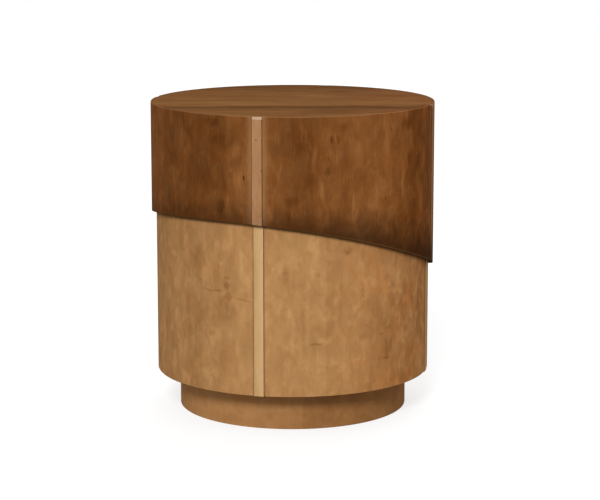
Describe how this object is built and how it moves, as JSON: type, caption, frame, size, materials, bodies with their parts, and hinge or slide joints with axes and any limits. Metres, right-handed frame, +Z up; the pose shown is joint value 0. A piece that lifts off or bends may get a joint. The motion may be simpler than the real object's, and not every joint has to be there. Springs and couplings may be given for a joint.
{
  "type": "side table",
  "caption": "Round drum side table: a dark wrap with a slanting lower edge over a lighter drum, pale upright strips and a recessed plinth on levelling feet.",
  "frame": {"origin": "on the floor under the drum's axis, at the centre of the plinth's lower face", "axes": "+Z up; -Y towards the picture's viewer; +X to the viewer's right; the boards of the top run along X"},
  "size_m": [0.508, 0.508, 0.553],
  "materials": {
    "stained_top": "brown stain, satin lacquer",
    "dark_wood": "dark brown stain, burnished at the edge, satin lacquer",
    "tan_strip": "tan oil, satin",
    "light_wood": "honey stain, satin lacquer",
    "pale_strip": "pale oil, satin",
    "plinth_wood": "honey brown stain, satin lacquer",
    "frame_wood": "planed, unfinished",
    "deck_plywood": "sanded plywood, unfinished",
    "dowel_wood": "turned, unfinished",
    "zinc_steel": "zinc plated",
    "black_nylon": "moulded nylon"
  },
  "bodies": {
    "table": {"top_board_front": "stained_top", "top_board_middle": "stained_top", "top_board_back": "stained_top", "dark_panel_front_right": "dark_wood", "dark_panel_back_right": "dark_wood", "dark_panel_back_left": "dark_wood", "dark_panel_front_left": "dark_wood", "upper_strip_front": "tan_strip", "upper_strip_right": "tan_strip", "upper_strip_back": "tan_strip", "upper_strip_left": "tan_strip", "light_panel_front_right": "light_wood", "light_panel_back_right": "light_wood", "light_panel_back_left": "light_wood", "light_panel_front_left": "light_wood", "lower_strip_front": "pale_strip", "lower_strip_right": "pale_strip", "lower_strip_back": "pale_strip", "lower_strip_left": "pale_strip", "post_front": "frame_wood", "post_right": "frame_wood", "post_back": "frame_wood", "post_left": "frame_wood", "top_rail_front_right": "frame_wood", "top_rail_back_right": "frame_wood", "top_rail_back_left": "frame_wood", "top_rail_front_left": "frame_wood", "middle_rail_front_right": "frame_wood", "middle_rail_back_right": "frame_wood", "middle_rail_back_left": "frame_wood", "middle_rail_front_left": "frame_wood", "bottom_deck": "deck_plywood", "plinth_panel_front_right": "plinth_wood", "plinth_panel_back_right": "plinth_wood", "plinth_panel_back_left": "plinth_wood", "plinth_panel_front_left": "plinth_wood", "plinth_block_front": "frame_wood", "plinth_block_right": "frame_wood", "plinth_block_back": "frame_wood", "plinth_block_left": "frame_wood", "leveller_nuts": "zinc_steel", "rail_dowels": "dowel_wood", "top_screws": "zinc_steel", "post_screws": "zinc_steel", "plinth_screws": "zinc_steel"},
    "pad_front": {"leveller_pad_front": "black_nylon"},
    "stem_front": {"leveller_stem_front": "zinc_steel"},
    "pad_right": {"leveller_pad_right": "black_nylon"},
    "stem_right": {"leveller_stem_right": "zinc_steel"},
    "pad_back": {"leveller_pad_back": "black_nylon"},
    "stem_back": {"leveller_stem_back": "zinc_steel"},
    "pad_left": {"leveller_pad_left": "black_nylon"},
    "stem_left": {"leveller_stem_left": "zinc_steel"}
  },
  "joints": [
    {"name": "leveller_height_front", "type": "slide", "parent": "table", "child": "pad_front", "axis": [0, 0, -1], "range_m": [0, 0.0125]},
    {"name": "leveller_turn_front", "type": "hinge", "parent": "pad_front", "child": "stem_front", "pos_m": [0.01474, -0.16851, 0.012], "axis": [0, 0, -1], "range_deg": [0, 2880]},
    {"name": "leveller_height_right", "type": "slide", "parent": "table", "child": "pad_right", "axis": [0, 0, -1], "range_m": [0, 0.0125]},
    {"name": "leveller_turn_right", "type": "hinge", "parent": "pad_right", "child": "stem_right", "pos_m": [0.16851, 0.01474, 0.012], "axis": [0, 0, -1], "range_deg": [0, 2880]},
    {"name": "leveller_height_back", "type": "slide", "parent": "table", "child": "pad_back", "axis": [0, 0, -1], "range_m": [0, 0.0125]},
    {"name": "leveller_turn_back", "type": "hinge", "parent": "pad_back", "child": "stem_back", "pos_m": [-0.01474, 0.16851, 0.012], "axis": [0, 0, -1], "range_deg": [0, 2880]},
    {"name": "leveller_height_left", "type": "slide", "parent": "table", "child": "pad_left", "axis": [0, 0, -1], "range_m": [0, 0.0125]},
    {"name": "leveller_turn_left", "type": "hinge", "parent": "pad_left", "child": "stem_left", "pos_m": [-0.16851, -0.01474, 0.012], "axis": [0, 0, -1], "range_deg": [0, 2880]}
  ],
  "couplings": [
    {"joint": "leveller_height_front", "follows": "leveller_turn_front", "m_per_rad": 0.00019894},
    {"joint": "leveller_height_right", "follows": "leveller_turn_right", "m_per_rad": 0.00019894},
    {"joint": "leveller_height_back", "follows": "leveller_turn_back", "m_per_rad": 0.00019894},
    {"joint": "leveller_height_left", "follows": "leveller_turn_left", "m_per_rad": 0.00019894}
  ]
}
